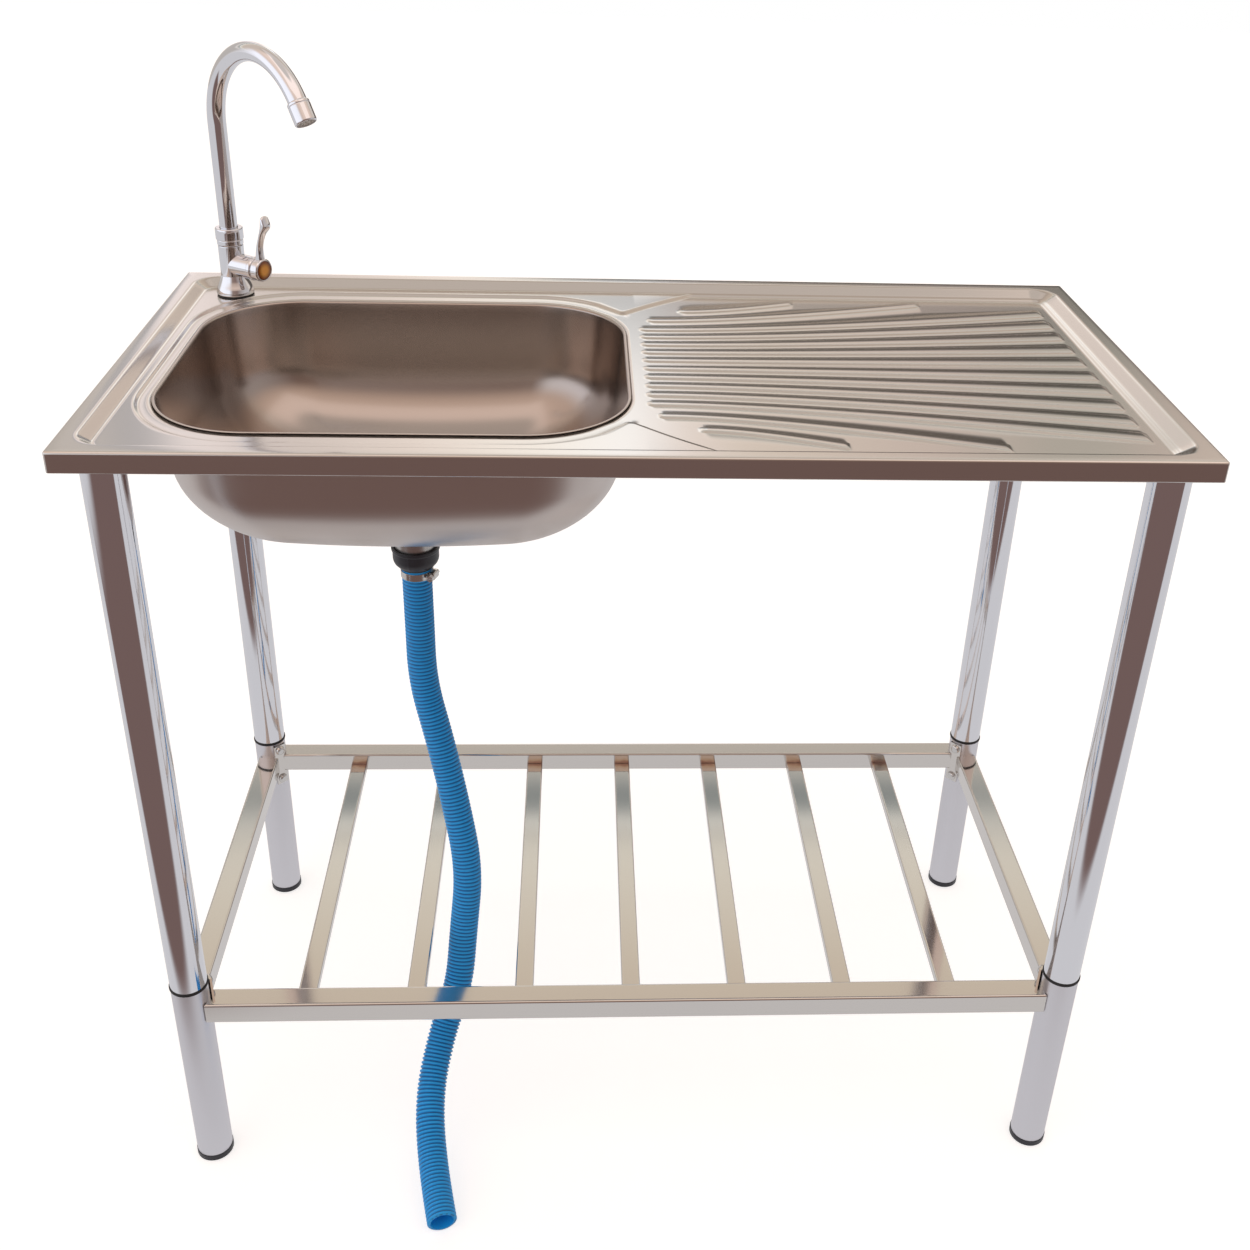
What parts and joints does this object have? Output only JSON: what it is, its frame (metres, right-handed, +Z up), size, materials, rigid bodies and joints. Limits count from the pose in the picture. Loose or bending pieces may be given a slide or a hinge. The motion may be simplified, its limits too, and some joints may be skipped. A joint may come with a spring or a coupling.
{
  "type": "kitchen sink unit",
  "caption": "Free-standing stainless sink unit: bowl and ribbed drainer on tube legs with a slatted shelf, gooseneck tap, waste and ribbed drain hose.",
  "frame": {"origin": "on the floor under the centre of the worktop", "axes": "+X to the right seen from the front, +Y to the back, +Z up"},
  "size_m": [1, 0.5898, 1.1295],
  "materials": {
    "worktop_steel": "pressed stainless sheet, polished",
    "bowl_steel": "drawn stainless sheet, satin inside",
    "leg_chrome": "mirror-polished tube",
    "lower_leg_steel": "satin tube",
    "shelf_steel": "polished square and flat tube",
    "bolt_steel": "plated dome-headed bolts",
    "plain_steel": "plain sheet steel",
    "tap_chrome": "chromed brass",
    "brass": "turned brass",
    "white_plastic": "perforated aerator insert",
    "orange_plastic": "translucent index disc",
    "black_rubber": "soft black rubber",
    "black_plastic": "moulded black plastic",
    "clamp_steel": "plated worm-drive clamp",
    "hose_plastic": "blue ribbed hose"
  },
  "bodies": {
    "frame": {"worktop": "worktop_steel", "bowl": "bowl_steel", "leg_socket_front_left": "plain_steel", "leg_socket_front_right": "plain_steel", "leg_socket_back_left": "plain_steel", "leg_socket_back_right": "plain_steel", "upper_leg_front_left": "leg_chrome", "upper_leg_front_right": "leg_chrome", "upper_leg_back_left": "leg_chrome", "upper_leg_back_right": "leg_chrome", "leg_ring_front_left": "black_rubber", "leg_ring_front_right": "black_rubber", "leg_ring_back_left": "black_rubber", "leg_ring_back_right": "black_rubber", "lower_leg_front_left": "lower_leg_steel", "lower_leg_front_right": "lower_leg_steel", "lower_leg_back_left": "lower_leg_steel", "lower_leg_back_right": "lower_leg_steel", "foot_cap_front_left": "black_plastic", "foot_cap_front_right": "black_plastic", "foot_cap_back_left": "black_plastic", "foot_cap_back_right": "black_plastic", "corner_strap_front_left": "shelf_steel", "corner_strap_front_right": "shelf_steel", "corner_strap_back_left": "shelf_steel", "corner_strap_back_right": "shelf_steel", "strap_bolts": "bolt_steel", "shelf_rail_front": "shelf_steel", "shelf_rail_back": "shelf_steel", "shelf_rail_left": "shelf_steel", "shelf_rail_right": "shelf_steel", "shelf_slat_1": "shelf_steel", "shelf_slat_2": "shelf_steel", "shelf_slat_3": "shelf_steel", "shelf_slat_4": "shelf_steel", "shelf_slat_5": "shelf_steel", "shelf_slat_6": "shelf_steel", "shelf_slat_7": "shelf_steel", "tap_base_seal": "black_rubber", "tap_body": "tap_chrome", "tap_washer": "plain_steel", "tap_lock_nut": "brass", "spout_nut": "tap_chrome", "valve_cartridge": "brass", "valve_bonnet": "tap_chrome", "waste_body": "plain_steel", "waste_seal": "black_rubber", "waste_back_nut": "black_plastic", "hose_coupling": "black_plastic", "hose_clamp": "clamp_steel", "clamp_screw": "clamp_steel", "drain_hose": "hose_plastic"},
    "spout": {"tap_spout": "tap_chrome", "spout_o_ring": "black_rubber", "aerator_housing": "tap_chrome", "aerator_insert": "white_plastic"},
    "lever": {"tap_lever": "tap_chrome", "valve_spindle": "brass", "index_disc": "orange_plastic"},
    "basket": {"basket_strainer": "plain_steel"}
  },
  "joints": [
    {"name": "spout_swivel", "type": "hinge", "parent": "frame", "child": "spout", "pos_m": [-0.43699, 0.20001, 0.94], "axis": [0, 0, 1], "continuous": true},
    {"name": "lever_turn", "type": "hinge", "parent": "frame", "child": "lever", "pos_m": [-0.43699, 0.20001, 0.8904], "axis": [0.8425, -0.5388, 0], "range_deg": [0, 90]},
    {"name": "basket_lift", "type": "slide", "parent": "frame", "child": "basket", "axis": [0, 0, 1], "range_m": [0, 0.06]}
  ]
}
